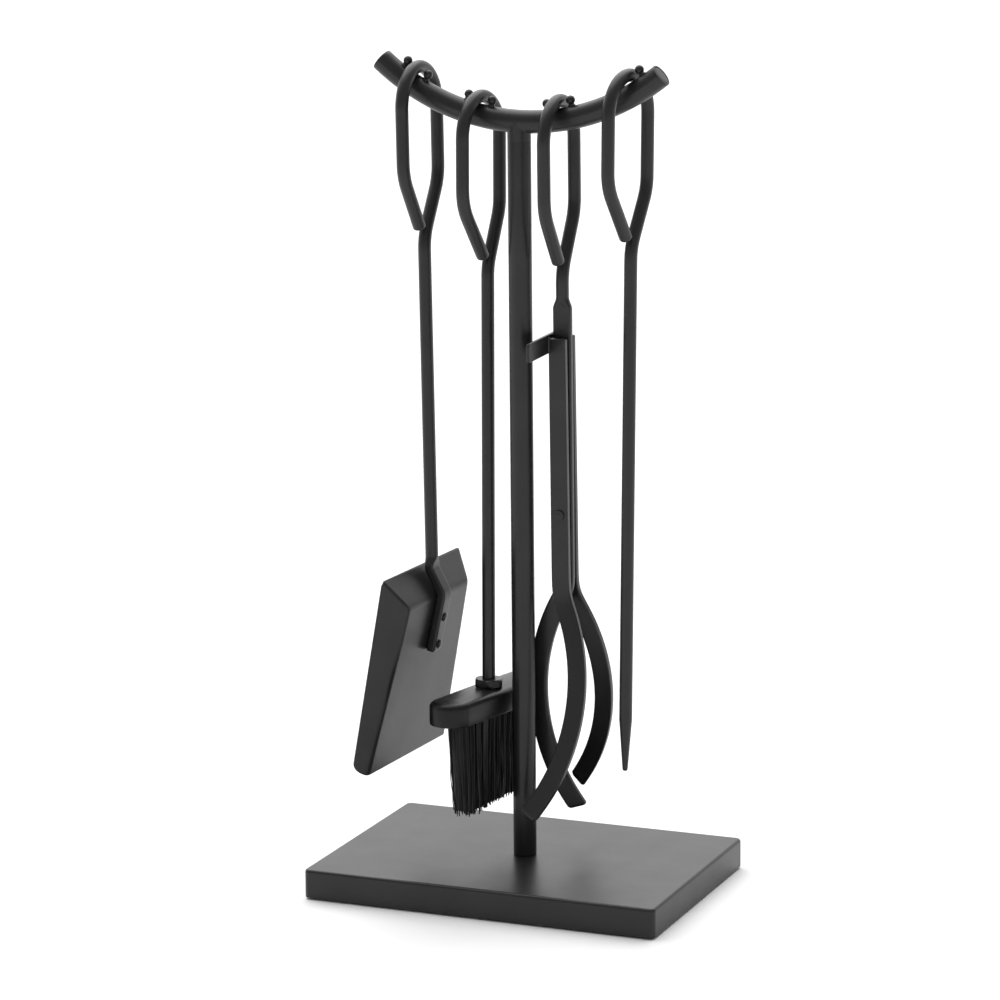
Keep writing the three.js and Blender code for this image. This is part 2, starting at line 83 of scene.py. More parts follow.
# How each tool hangs: where along the crossbar, leaning to the back and tilting to the right, all in degrees,
# and how far its rod lies behind the middle of its loop.
HANG = {
    "shovel": {"along": -30.5, "lean": -0.5, "tilt": 0.9, "rod": 4 * MM},
    "brush": {"along": -11.1, "lean": -1.5, "tilt": 0.3, "rod": 13 * MM},
    "tongs": {"along": 11.2, "lean": 1.6, "tilt": -0.4, "rod": 5 * MM},
    "poker": {"along": 32.3, "lean": -1.0, "tilt": -0.35, "rod": 8 * MM},
}
LOOP = {
    "arch_radius": 38 * MM,
    "front_bend": 101 * MM,
    "rear_bend": 108 * MM,
    "rod_start": 162 * MM,
    "front_end": 152 * MM,
    "leg_bend": 45 * MM,
}

PAN = {
    "depth": 490.5 * MM,
    "offset": 7.5 * MM,
    "slope": math.radians(13.6),
    "length": 167.7 * MM,
    "rear_half_width": 67 * MM,
    "mouth_half_width": 86 * MM,
    "rear_wall": 25 * MM,
    "mouth_wall": 12 * MM,
    "rear_flare": 0.96,
    "side_flare": 0.86,
    "sheet": 2 * MM,
}
STRAP = {
    "width": 17 * MM,
    "thickness": 9 * MM,
    "forged_from": 452 * MM,
    "bend_top": 460 * MM,
    "flatten": 9 * MM,
    "end": 56 * MM,
}
RIVET = {"head": 4.2 * MM, "height": 2 * MM, "places": (20 * MM, 48 * MM)}

BRUSH_HEAD = {"depth": 553 * MM, "length": 178 * MM, "width": 42 * MM, "height": 24 * MM}
BRUSH_TURN = math.radians(4.5)
BRUSH_NUT = {"radius": 15 * MM, "height": 7.5 * MM}
BRISTLES = {
    "length": 122 * MM,
    "width": 32 * MM,
    "height": 90 * MM,
    "droop": 7 * MM,
    "taper": 0.87,
    "back_flare": 1.06,
}

TONGS = {
    "flare_from": 169 * MM,
    "flare_to": 180 * MM,
    "arm_top": 207 * MM,
    "rivet": 378 * MM,
    "arm_top_width": 17 * MM,
    "arm_top_shift": -1 * MM,
    "arm_width": 17.8 * MM,
    "centre_width": 18.2 * MM,
    "thickness": 7 * MM,
    "spacing": 10.5 * MM,
}
OUTER_PRONG = {
    "from": 459 * MM,
    "kink": math.radians(28.8),
    "radius": 197 * MM,
    "length": 226 * MM,
    "splay": math.radians(14.8),
}
BACK_SLANT = 0.32  # how far the back and the centre prong's ends slant, over half their width
CENTRE_PRONG = {"from": 455 * MM, "kink": math.radians(32.4), "radius": 187 * MM, "length": 231 * MM}
LEVER = {"depth": 213 * MM, "height": 18 * MM, "thickness": 3.5 * MM, "reach": 45 * MM}
TONGS_PIN = {"head": 5 * MM, "height": 1.6 * MM}

POKER = {"taper_from": 595 * MM, "tip": 646 * MM, "tip_radius": 2.5 * MM}

GAP = 0.3 * MM


# ---- Materials ----

def new_material(name):
    material = bpy.data.materials.new(name)
    material.use_nodes = True
    nodes = material.node_tree.nodes
    return material, nodes, material.node_tree.links, nodes["Principled BSDF"]


def noise_node(nodes, links, scale, detail):
    coordinates = nodes.new("ShaderNodeTexCoord")
    texture = nodes.new("ShaderNodeTexNoise")
    texture.inputs["Scale"].default_value = scale
    texture.inputs["Detail"].default_value = detail
    texture.inputs["Roughness"].default_value = 0.55
    links.new(coordinates.outputs["Object"], texture.inputs["Vector"])
    return texture


def stretched_noise_node(nodes, links, stretch, detail):
    """Noise whose scale differs along the three axes, so that it makes streaks."""
    coordinates = nodes.new("ShaderNodeTexCoord")
    mapping = nodes.new("ShaderNodeMapping")
    mapping.inputs["Scale"].default_value = stretch
    links.new(coordinates.outputs["Object"], mapping.inputs["Vector"])
    texture = nodes.new("ShaderNodeTexNoise")
    texture.inputs["Scale"].default_value = 1
    texture.inputs["Detail"].default_value = detail
    links.new(mapping.outputs["Vector"], texture.inputs["Vector"])
    return texture


def ramp_node(nodes, links, source, low, high, low_colour, high_colour):
    ramp = nodes.new("ShaderNodeValToRGB")
    ramp.color_ramp.elements[0].position = low
    ramp.color_ramp.elements[1].position = high
    ramp.color_ramp.elements[0].color = (*low_colour, 1)
    ramp.color_ramp.elements[1].color = (*high_colour, 1)
    links.new(source, ramp.inputs["Fac"])
    return ramp


def range_node(nodes, links, source, low, high):
    mapped = nodes.new("ShaderNodeMapRange")
    mapped.inputs["To Min"].default_value = low
    mapped.inputs["To Max"].default_value = high
    links.new(source, mapped.inputs["Value"])
    return mapped


def bump_node(nodes, links, source, strength, distance, below=None):
    bump = nodes.new("ShaderNodeBump")
    bump.inputs["Strength"].default_value = strength
    bump.inputs["Distance"].default_value = distance
    links.new(source, bump.inputs["Height"])
    if below:
        links.new(below.outputs["Normal"], bump.inputs["Normal"])
    return bump


def painted_steel(name, dark, light, smooth, rough):
    """Satin powder coat: a fine orange peel, with tone and gloss that drift over the surface."""
    material, nodes, links, shader = new_material(name)
    drift = noise_node(nodes, links, 26, 4)
    tone = ramp_node(nodes, links, drift.outputs["Fac"], 0.3, 0.72, (dark,) * 3, (light, light, light * 1.02))
    links.new(tone.outputs["Color"], shader.inputs["Base Color"])
    gloss = range_node(nodes, links, drift.outputs["Fac"], rough, smooth)
    links.new(gloss.outputs["Result"], shader.inputs["Roughness"])
    peel = noise_node(nodes, links, 620, 2)
    grain = noise_node(nodes, links, 2600, 2)
    broad = bump_node(nodes, links, peel.outputs["Fac"], 0.25, 0.00012)
    fine = bump_node(nodes, links, grain.outputs["Fac"], 0.2, 0.00003, broad)
    links.new(fine.outputs["Normal"], shader.inputs["Normal"])
    shader.inputs["IOR"].default_value = 1.4
    return material


def lacquered_wood():
    """Black lacquer over wood: glossier, with the faint long grain under it."""
    material, nodes, links, shader = new_material("black_lacquer")
    grain = stretched_noise_node(nodes, links, (420, 24, 420), 5)
    tone = ramp_node(nodes, links, grain.outputs["Fac"], 0.3, 0.7, (0.004,) * 3, (0.008,) * 3)
    links.new(tone.outputs["Color"], shader.inputs["Base Color"])
    gloss = range_node(nodes, links, grain.outputs["Fac"], 0.3, 0.38)
    links.new(gloss.outputs["Result"], shader.inputs["Roughness"])
    bump = bump_node(nodes, links, grain.outputs["Fac"], 0.12, 0.00006)
    links.new(bump.outputs["Normal"], shader.inputs["Normal"])
    shader.inputs["IOR"].default_value = 1.31
    return material


def bristle_fibre():
    """Black fibre with lighter, duller streaks along it: partly the fibres' own random tone, partly painted
    highlights along the tufts.
    """
    material, nodes, links, shader = new_material("bristle")
    fibre_tone_and_painted_highlight = stretched_noise_node(nodes, links, (300, 300, 9), 2)
    # The lighter end of this ramp is painted highlight along the fibres, laid over their random tone.
    tone = ramp_node(nodes, links, fibre_tone_and_painted_highlight.outputs["Fac"], 0.5, 0.7, (0.0015,) * 3, (0.03,) * 3)
    links.new(tone.outputs["Color"], shader.inputs["Base Color"])
    gloss = range_node(nodes, links, fibre_tone_and_painted_highlight.outputs["Fac"], 0.42, 0.6)
    links.new(gloss.outputs["Result"], shader.inputs["Roughness"])
    shader.inputs["Specular IOR Level"].default_value = 0.26
    return material


def black_rubber():
    material, nodes, links, shader = new_material("foot_rubber")
    speckle = noise_node(nodes, links, 900, 3)
    tone = ramp_node(nodes, links, speckle.outputs["Fac"], 0.3, 0.7, (0.014,) * 3, (0.026,) * 3)
    links.new(tone.outputs["Color"], shader.inputs["Base Color"])
    gloss = range_node(nodes, links, speckle.outputs["Fac"], 0.75, 0.92)
    links.new(gloss.outputs["Result"], shader.inputs["Roughness"])
    bump = bump_node(nodes, links, speckle.outputs["Fac"], 0.3, 0.0001)
    links.new(bump.outputs["Normal"], shader.inputs["Normal"])
    return material


def zinc_plate():
    material, nodes, links, shader = new_material("zinc_plate")
    spangle = noise_node(nodes, links, 300, 3)
    tone = ramp_node(nodes, links, spangle.outputs["Fac"], 0.3, 0.7, (0.5, 0.51, 0.5), (0.66, 0.66, 0.62))
    links.new(tone.outputs["Color"], shader.inputs["Base Color"])
    gloss = range_node(nodes, links, spangle.outputs["Fac"], 0.28, 0.45)
    links.new(gloss.outputs["Result"], shader.inputs["Roughness"])
    shader.inputs["Metallic"].default_value = 1
    return material


def studio_floor():
    material, nodes, links, shader = new_material("floor")
    cloud = noise_node(nodes, links, 3, 2)
    tone = ramp_node(nodes, links, cloud.outputs["Fac"], 0.3, 0.7, (0.9,) * 3, (0.92,) * 3)
    links.new(tone.outputs["Color"], shader.inputs["Base Color"])
    shader.inputs["Roughness"].default_value = 0.9
    shader.inputs["Specular IOR Level"].default_value = 0.1
    return material


MATERIALS = {
    "powder_coat": painted_steel("powder_coat", 0.012, 0.017, 0.3, 0.38),
    "black_lacquer": lacquered_wood(),
    "bristle": bristle_fibre(),
    "foot_rubber": black_rubber(),
    "zinc_plate": zinc_plate(),
}


# ---- Meshes ----

def piece(name, mesh, body, slot, replaces=(), place=None, smooth_angle=35):
    """Makes an object of a bmesh, in place, with its slot's material, riding on its body."""
    if place:
        mesh.transform(place)
    bmesh.ops.recalc_face_normals(mesh, faces=mesh.faces)
    data = bpy.data.meshes.new(name)
    mesh.to_mesh(data)
    mesh.free()
    data.materials.append(MATERIALS[slot])
    data.shade_smooth()
    data.set_sharp_from_angle(angle=math.radians(smooth_angle))
    thing = bpy.data.objects.new(name, data)
    bpy.context.scene.collection.objects.link(thing)
    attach(thing, body)
    if replaces:
        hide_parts(*replaces)
    return thing


def add_rings(mesh, rings):
    """Adds faces between rings of points, and one face over each end."""
    made = [[mesh.verts.new(point) for point in ring] for ring in rings]
    for ring, following in zip(made, made[1:]):
        for i in range(len(ring)):
            j = (i + 1) % len(ring)
            mesh.faces.new((ring[i], ring[j], following[j], following[i]))
    mesh.faces.new(list(reversed(made[0])))
    mesh.faces.new(made[-1])
    return mesh


def rounded_line(corners, radii):
    """The points of a line through the corners, with an arc at each corner between the two ends."""
    turn_step = math.radians(4)
    points = [corners[0]]
    for i, radius in enumerate(radii):
        corner = corners[i + 1]
        back = (corners[i] - corner).normalized()
        ahead = (corners[i + 2] - corner).normalized()
        turn = math.pi - back.angle(ahead)
        middle = (back + ahead).normalized()
        centre = corner + middle * (radius / math.cos(turn / 2))
        spoke = corner + back * (radius * math.tan(turn / 2)) - centre
        axis = (-back).cross(ahead).normalized()
        steps = max(math.ceil(turn / turn_step), 2)
        points += [centre + Matrix.Rotation(turn * s / steps, 3, axis) @ spoke for s in range(steps + 1)]
    points.append(corners[-1])
    return [p for i, p in enumerate(points) if i == 0 or (p - points[i - 1]).length > 1e-5]


def spaced(points, longest):
    """The same line, with long stretches cut into shorter ones."""
    result = [points[0]]
    for start, end in zip(points, points[1:]):
        steps = max(math.ceil((end - start).length / longest), 1)
        result += [start.lerp(end, s / steps) for s in range(1, steps + 1)]
    return result


def rounded_outline(width, height, corner, steps=8):
    """The points of a rectangle with round corners, or of a circle where the corners meet."""
    x = width / 2 - corner
    y = height / 2 - corner
    points = []
    for quarter, (side_x, side_y) in enumerate(((1, 1), (-1, 1), (-1, -1), (1, -1))):
        for step in range(steps + 1):
            angle = (quarter + step / steps) * math.pi / 2
            points.append((side_x * x + corner * math.cos(angle), side_y * y + corner * math.sin(angle)))
    return points


def section_ring(centre, tangent, across, outline):
    """An outline set square to a tangent, with its first axis as near to across as that allows."""
    first = (across - tangent * across.dot(tangent)).normalized()
    second = tangent.cross(first)
    return [centre + first * a + second * b for a, b in outline]


def tangents(points):
    result = []
    for i, point in enumerate(points):
        before = (point - points[i - 1]).normalized() if i else Vector()
        after = (points[i + 1] - point).normalized() if i + 1 < len(points) else Vector()
        result.append((before + after).normalized())
    return result


def bar_mesh(points, sizes, across=X_AXIS, edge=1 * MM, end_corners=(0, 0), slant=0.0):
    """A bar along points, with softened ends.

    sizes holds each point's width, thickness and corner radius. end_corners says how far the width is rounded
    off at the first and the last end, and slant how far the last end is cut out of square.
    """
    rings = []
    directions = tangents(points)
    last = len(points) - 1
    for i, (point, size, direction) in enumerate(zip(points, sizes, directions)):
        if i in (0, last):
            outward = -direction if i == 0 else direction
            rounding = max(end_corners[0] if i == 0 else end_corners[1], edge)
            end = end_rings(point, outward, direction, across, size, edge, rounding)
            if i == last:
                first = (across - direction * across.dot(direction)).normalized()
                rings += [[p + direction * slant * (p - point).dot(first) for p in ring] for ring in end]
            else:
                rings += list(reversed(end))
        else:
            rings.append(section_ring(point, direction, across, rounded_outline(*size)))
    return add_rings(bmesh.new(), rings)


def end_rings(point, outward, direction, across, size, edge, rounding, steps=5):
    """Rings that round a bar's end off, from its full section out to the flat of the end."""
    width, thickness, corner = size
    rings = []
    for step in range(steps + 1):
        angle = step / steps * math.pi / 2
        inset_w = rounding * (1 - math.cos(angle))
        inset_t = edge * (1 - math.cos(angle))
        outline = rounded_outline(
            width - 2 * inset_w,
            thickness - 2 * inset_t,
            max(min(corner, thickness / 2 - inset_t, width / 2 - inset_w) - inset_t * 0.3, 0.05 * MM),
        )
        centre = point - outward * rounding * (1 - math.sin(angle))
        rings.append(section_ring(centre, direction, across, outline))
    return rings


def round_size(radius):
    return (2 * radius, 2 * radius, radius)


def lathe(profile, sides=40):
    """A closed round body about Z, from (radius, height) points. A radius of nothing is a pole."""
    mesh = bmesh.new()
    rings = []
    for radius, height in profile:
        if radius < 1e-7:
            rings.append([mesh.verts.new((0, 0, height))])
            continue
        turns = (2 * math.pi * i / sides for i in range(sides))
        rings.append([mesh.verts.new((radius * math.cos(t), radius * math.sin(t), height)) for t in turns])
    for ring, following in zip(rings, rings[1:]):
        for i in range(sides):
            j = (i + 1) % sides
            corners = [ring[i % len(ring)], ring[j % len(ring)]]
            corners += [following[j % len(following)], following[i % len(following)]]
            mesh.faces.new(list(dict.fromkeys(corners)))
    return mesh


def dome_profile(radius, height, steps=8):
    """The profile of a rivet's or pin's head: a short wall and a low dome."""
    wall = height * 0.3
    profile = [(0, 0), (radius, 0), (radius, wall)]
    for step in range(1, steps + 1):
        angle = step / steps * math.pi / 2
        profile.append((radius * math.cos(angle), wall + (height - wall) * math.sin(angle)))
    profile[-1] = (0, height)
    return profile


def prism_rings(outline_at, profile):
    """Rings of an outline that follows a profile of (inset, height) points."""
    return [[Vector((x, y, height)) for x, y in outline_at(inset)] for inset, height in profile]


def edge_profile(height, radius, steps=6):
    """An arc that turns a wall into a top: from the wall's height to the top."""
    angles = [step / steps * math.pi / 2 for step in range(steps + 1)]
    return [(radius * (1 - math.cos(a)), height - radius * (1 - math.sin(a))) for a in angles]


def remeshed(thing, voxel, smoothing):
    """Welds a piece's overlapping bars into one skin, with a small fillet where they meet."""
    remesh = thing.modifiers.new("weld", "REMESH")
    remesh.mode = "VOXEL"
    remesh.voxel_size = voxel
    smooth = thing.modifiers.new("fillet", "SMOOTH")
    smooth.factor = 0.5
    smooth.iterations = smoothing
    thin = thing.modifiers.new("thin", "DECIMATE")
    thin.ratio = 0.3
    bpy.context.view_layer.update()
    evaluated = thing.evaluated_get(bpy.context.evaluated_depsgraph_get())
    data = bpy.data.meshes.new_from_object(evaluated)
    thing.modifiers.clear()
    thing.data = data
    data.shade_smooth()
    return thing


# ---- Places ----

def over_bar(along, height):
    """A point over or under the crossbar's centre line, at an angle along its bend from the post."""
    angle = along - BAR["tilt"]
    radius = BAR["bend"] - height
    return BAR_CENTRE + Vector((radius * math.sin(angle), 0, -radius * math.cos(angle)))


def joint(name):
    return next(j for j in frame["joints"] if j["name"] == name)


def tool_place(tool):
    """The tool's frame: its pivot and its turn come from its swing joint."""
    swing = joint(f"{tool}_swing")
    turn = math.atan2(-swing["axis"][1], swing["axis"][0])
    hang = HANG[tool]
    return (
        Matrix.Translation(swing["pos_m"])
        @ Matrix.Rotation(-turn, 4, "Z")
        @ Matrix.Rotation(-math.radians(hang["tilt"]), 4, "Y")
        @ Matrix.Rotation(math.radians(hang["lean"]), 4, "X")
    )


# ---- Stand ----

def base():
    low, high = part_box("base_shell")
    width, depth = high.x - low.x, high.y - low.y
    corner, edge, wall, lip = 6 * MM, 3 * MM, 2 * MM, 0.6 * MM

    def outline(inset):
        radius = max(corner - inset, 0.4 * MM)
        return rounded_outline(width - 2 * inset, depth - 2 * inset, radius)

    roof = high.z - wall
    profile = [(wall + 6 * MM, roof), (wall + 0.5 * MM, roof), (wall, roof - 0.5 * MM)]
    profile += [(wall, low.z + lip), (wall - lip, low.z), (lip, low.z), (0, low.z + lip)]
    profile += [(0, low.z + 2 * MM), (0, high.z - edge - 1 * MM)]
    profile += edge_profile(high.z, edge)
    profile += [(edge + 1 * MM, high.z), (edge + 8 * MM, high.z)]
    mesh = add_rings(bmesh.new(), prism_rings(outline, profile))
    piece("base_cover", mesh, "stand", "powder_coat", ["base_shell"])


def post():
    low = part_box("post")[0]
    bottom = Vector((0, 0, low.z))
    top = Vector((0, 0, BAR["middle"]))
    points = spaced([bottom, top], 60 * MM)
    mesh = bar_mesh(points, [round_size(POST_RADIUS)] * len(points), edge=0.4 * MM)
    piece("post_tube", mesh, "stand", "powder_coat", ["post"])


def saddle_weld():
    """The ground weld where the post meets the crossbar.

    Short lengths of both tubes, a little thicker than they are, are filleted into one skin.
    """
    skin = 0.1 * MM
    reach_along, reach_down = 17 * MM, 18.7 * MM
    steps = 12
    top = Vector((0, 0, BAR["middle"]))
    stub = spaced([top - Z_AXIS * reach_down, top], 4 * MM)
    mesh = bar_mesh(stub, [round_size(POST_RADIUS + skin)] * len(stub))
    half = reach_along / BAR["bend"]
    arc = [over_bar(BAR["tilt"] + half * (2 * i / steps - 1), 0) for i in range(steps + 1)]
    size = round_size(BAR["radius"] + skin)
    across_bar = bar_mesh(arc, [size] * len(arc), across=Y_AXIS)
    data = bpy.data.meshes.new("arc")
    across_bar.to_mesh(data)
    across_bar.free()
    mesh.from_mesh(data)
    remeshed(piece("post_weld", mesh, "stand", "powder_coat"), 0.6 * MM, 9)


def crossbar():
    """The bent tube. Its ends are cut square, with a fine groove around the plug."""
    steps = 72
    span = BAR["half_span"]
    angles = [span * (2 * i / steps - 1) for i in range(steps + 1)]
    points = [over_bar(angle, 0) for angle in angles]
    directions = tangents(points)
    rings = []
    groove = [(9.2, 1.5), (9.2, 0.5), (9.5, 0.1), (10.2, 0), (10.75, 0.2), (11, 0.7)]
    for radius, inset in groove:
        outline = rounded_outline(*round_size(radius * MM))
        rings.append(section_ring(points[0] + directions[0] * inset * MM, directions[0], Y_AXIS, outline))
    for point, direction in list(zip(points, directions))[1:-1]:
        rings.append(section_ring(point, direction, Y_AXIS, rounded_outline(*round_size(BAR["radius"]))))
    for radius, inset in reversed(groove):
        outline = rounded_outline(*round_size(radius * MM))
        rings.append(section_ring(points[-1] - directions[-1] * inset * MM, directions[-1], Y_AXIS, outline))
    piece("crossbar_tube", add_rings(bmesh.new(), rings), "stand", "powder_coat", ["crossbar"])


def crossbar_plug(side, node):
    """A flat round plug, just inside the tube's end."""
    radius = 8.9 * MM
    profile = [(0, -3 * MM), (radius, -3 * MM), (radius, -0.7 * MM), (radius - 0.2 * MM, -0.4 * MM)]
    profile += [(radius - 0.6 * MM, -0.25 * MM), (radius * 0.5, -0.2 * MM), (0, -0.2 * MM)]
    turn = BAR["tilt"] - side * BAR["half_span"] + side * math.pi / 2
    place = Matrix.Translation(over_bar(side * BAR["half_span"], 0)) @ Matrix.Rotation(turn, 4, "Y")
    piece(f"{node}_disc", lathe(profile, 48), "stand", "powder_coat", [node], place)


def peg(number, along):
    """A ball on a short stem, with a small weld at its foot."""
    ball, stem, height = PEG["ball"], PEG["stem"], PEG["height"]
    centre = height - ball
    neck = math.asin(stem * 0.95 / ball)
    steps = 16
    profile = [(0, -1 * MM), (stem + 1 * MM, -1 * MM)]
    profile += [(stem + 0.9 * MM, 0.3 * MM), (stem + 0.3 * MM, 0.8 * MM)]
    for step in range(steps + 1):
        angle = -math.pi / 2 + neck + (math.pi - neck) * step / steps
        profile.append((ball * math.cos(angle) if step < steps else 0, centre + ball * math.sin(angle)))
    place = Matrix.Translation(over_bar(along, BAR["radius"])) @ Matrix.Rotation(BAR["tilt"] - along, 4, "Y")
    piece(f"peg_ball_{number}", lathe(profile, 28), "stand", "powder_coat", [f"peg_{number}"], place)


def stand():
    base()
    post()
    saddle_weld()
    crossbar()
    crossbar_plug(-1, "crossbar_cap_left")
    crossbar_plug(1, "crossbar_cap_right")
    number = 0
    for hang in HANG.values():
        for side in (-1, 1):
            number += 1
            peg(number, math.radians(hang["along"]) + side * PEG["half_spacing"])


# ---- Loop handles ----

def loop_points(tool, rod_end):
    """The centre line of a tool's bar: from the welded end up over the crossbar and down to the rod's end."""
    top = over_bar(math.radians(HANG[tool]["along"]), BAR["radius"] + ROD_RADIUS + HANG_GAP).z
    top -= joint(f"{tool}_swing")["pos_m"][2]
    rod = HANG[tool]["rod"]
    arch = LOOP["arch_radius"]

    def at(y, below):
        return Vector((0, y, top - below))

    corners = [
        at(rod - 1.6 * ROD_RADIUS, LOOP["front_end"]),
        at(-arch, LOOP["front_bend"]),
        at(-arch, 0),
        at(arch, 0),
        at(arch, LOOP["rear_bend"]),
        at(rod, LOOP["rod_start"]),
        Vector((0, rod, -rod_end)),
    ]
    radii = [LOOP["leg_bend"], arch, arch, LOOP["leg_bend"], LOOP["leg_bend"]]
    return rounded_line(corners, radii)


def tool_bar(tool, more_points, more_sizes, end_corner=0.0, slant=0.0):
    """A tool's whole bar, from its loop to its far end, welded into one skin."""
    points = loop_points(tool, more_points[0])
    sizes = [round_size(WELDED_RADIUS)] * len(points)
    points = points + more_points[1:]
    sizes = sizes + more_sizes
    return bar_mesh(points, sizes, edge=1.2 * MM, end_corners=(1.2 * MM, end_corner), slant=slant)


# ---- Shovel ----

def pan_point(down, across, inward):
    """A point of the pan: down its slope from the rear edge, across it, and in from its outer face."""
    sin, cos = math.sin(PAN["slope"]), math.cos(PAN["slope"])
    return Vector((
        PAN["offset"] - down * sin - inward * cos,
        HANG["shovel"]["rod"] + across,
        -PAN["depth"] - down * cos + inward * sin,
    ))


def smooth_maximum(a, b, blend):
    """The greater of two heights, rounded over where they are nearly equal."""
    gap = max(blend - abs(a - b), 0) / blend
    return max(a, b) + gap * gap * blend / 4


def pan_height(down, across):
    """How far the sheet's outer face stands in from the bottom's plane, with its creases rounded."""
    widening = (PAN["mouth_half_width"] - PAN["rear_half_width"]) / PAN["length"]
    half_width = PAN["rear_half_width"] + widening * down
    side = (abs(across) - half_width) / PAN["side_flare"]
    rear = -down / PAN["rear_flare"]
    walls = smooth_maximum(side, rear, 3 * MM)
    return smooth_maximum(walls, 0.0, 4 * MM)


def rounded_corner(x, y, radius):
    """Draws a point near a sheet's corner in to a round one. x and y are its distances from the two edges."""
    if x >= radius or y >= radius:
        return x, y
    away = math.hypot(radius - x, radius - y)
    reach = max(radius - x, radius - y)
    if away < 1e-9:
        return x, y
    shrink = reach / away
    return radius - (radius - x) * shrink, radius - (radius - y) * shrink


def pan_sheet():
    """The tray as one bent sheet: an outer and an inner face joined by a rounded rim."""
    rows, columns = 120, 110
    rear = -PAN["rear_flare"] * PAN["rear_wall"]
    depth = PAN["length"] - rear
    rim_slope = (PAN["mouth_wall"] - PAN["rear_wall"]) / depth
    widening = (PAN["mouth_half_width"] - PAN["rear_half_width"]) / PAN["length"]

    def half_span(down):
        rim = PAN["rear_wall"] + rim_slope * (down - rear)
        return PAN["rear_half_width"] + widening * down + PAN["side_flare"] * rim

    def surface(row, column):
        from_rear = depth * row / rows
        from_side = half_span(rear + from_rear) * (1 - abs(2 * column / columns - 1))
        side = 1 if 2 * column >= columns else -1
        from_side, from_rear = rounded_corner(from_side, from_rear, 5 * MM)
        from_side, from_mouth = rounded_corner(from_side, depth - from_rear, 11 * MM)
        down = rear + depth - from_mouth
        across = side * (half_span(down) - from_side)
        return Vector((down, across, pan_height(down, across)))

    def normal(row, column):
        step = 0.3 * MM
        down, across, _ = surface(row, column)
        by_down = pan_height(down + step, across) - pan_height(down - step, across)
        by_across = pan_height(down, across + step) - pan_height(down, across - step)
        return Vector((-by_down, -by_across, 2 * step)).normalized()

    mesh = bmesh.new()
    outer, inner = {}, {}
    for row in range(rows + 1):
        for column in range(columns + 1):
            place = surface(row, column)
            outer[row, column] = mesh.verts.new(pan_point(*place))
            inner[row, column] = mesh.verts.new(pan_point(*(place + normal(row, column) * PAN["sheet"])))
    for row in range(rows):
        for column in range(columns):
            keys = [(row, column), (row, column + 1), (row + 1, column + 1), (row + 1, column)]
            mesh.faces.new([outer[k] for k in keys])
            mesh.faces.new([inner[k] for k in reversed(keys)])
    loop = [(0, c) for c in range(columns)] + [(r, columns) for r in range(rows)]
    loop += [(rows, c) for c in range(columns, 0, -1)] + [(r, 0) for r in range(rows, 0, -1)]
    bands = [[outer[key] for key in loop]]
    middle = sum((v.co for v in bands[0]), Vector()) / len(loop)
    for share in (0.2, 0.5, 0.8):
        band = []
        for i, key in enumerate(loop):
            ahead = outer[loop[(i + 1) % len(loop)]].co - outer[loop[i - 1]].co
            through = inner[key].co - outer[key].co
            out = ahead.cross(through).normalized()
            if out.dot(outer[key].co - middle) < 0:
                out = -out
            bulge = 0.45 * MM if share == 0.5 else 0.35 * MM
            band.append(mesh.verts.new(outer[key].co + through * share + out * bulge))
        bands.append(band)
    bands.append([inner[key] for key in loop])
    for band, following in zip(bands, bands[1:]):
        for i in range(len(loop)):
            j = (i + 1) % len(loop)
            mesh.faces.new((band[i], band[j], following[j], following[i]))
    return mesh


def strap_end():
    """The rest of the shovel's bar after its rod: forged flat, stepped over the rear wall, along the pan."""
    rod = HANG["shovel"]["rod"]
    flat_start = Vector((0, rod, -STRAP["forged_from"] - STRAP["flatten"]))
    flat_bend = Vector((0, rod, -STRAP["bend_top"] - STRAP["flatten"] / 2))
    outer = -STRAP["thickness"] / 2 - GAP
    corners = [flat_start, flat_bend, pan_point(-3 * MM, 0, outer), pan_point(STRAP["end"], 0, outer)]
    line = rounded_line(corners, [6 * MM, 12 * MM])
    neck = [Vector((0, rod, -STRAP["forged_from"])).lerp(flat_start, s / 6) for s in range(1, 6)]
    size = (STRAP["thickness"], STRAP["width"], 1.8 * MM)
    sizes = [blended_size(round_size(WELDED_RADIUS), size, s / 6) for s in range(1, 6)]
    return [STRAP["forged_from"], *neck, *line], sizes + [size] * len(line)


def blended_size(start, end, share):
    ease = share * share * (3 - 2 * share)
    return tuple(a + (b - a) * ease for a, b in zip(start, end))


def shovel():
    place = tool_place("shovel")
    points, sizes = strap_end()
    mesh = tool_bar("shovel", points, sizes, 2 * MM)
    handle = piece("shovel_bar", mesh, "shovel", "powder_coat", ["shovel_handle"], place)
    remeshed(handle, 0.7 * MM, 4)
    piece("shovel_tray", pan_sheet(), "shovel", "powder_coat", ["shovel_pan"], place, 50)
    for i, down in enumerate(RIVET["places"]):
        outer = ("outer", -STRAP["thickness"] - 2 * GAP, 1)
        inner = ("inner", PAN["sheet"], -1)
        for name, inward, flip in (outer, inner):
            head = lathe(dome_profile(RIVET["head"], RIVET["height"]), 32)
            turn = Matrix.Rotation(flip * math.pi / 2 + PAN["slope"], 4, "Y")
            seat = Matrix.Translation(pan_point(down, 0, inward))
            node = [f"shovel_rivet_{i + 1}"] if name == "outer" else []
            piece(f"shovel_rivet_{name}_{i + 1}", head, "shovel", "powder_coat", node, place @ seat @ turn)


# ---- Brush ----

def brush_place():
    """The brush's frame with the head's own turn about the rod, at the top of the head."""
    return (
        tool_place("brush")
        @ Matrix.Translation((0, HANG["brush"]["rod"], -BRUSH_HEAD["depth"]))
        @ Matrix.Rotation(-BRUSH_TURN, 4, "Z")
    )


def stadium(length, width, steps=24, swell=0.7 * MM):
    """The points of a long outline with round ends and slightly swelling sides, lying along Y."""
    radius = width / 2
    end = length / 2 - radius
    points = []
    for side in (1, -1):
        for step in range(steps + 1):
            angle = step / steps * math.pi + (0 if side > 0 else math.pi)
            points.append((radius * math.cos(angle), side * end + radius * math.sin(angle)))
        for step in range(1, 12):
            share = 1 - step / 6
            points.append((-side * (radius + swell * (1 - share * share)), side * share * end))
    return points


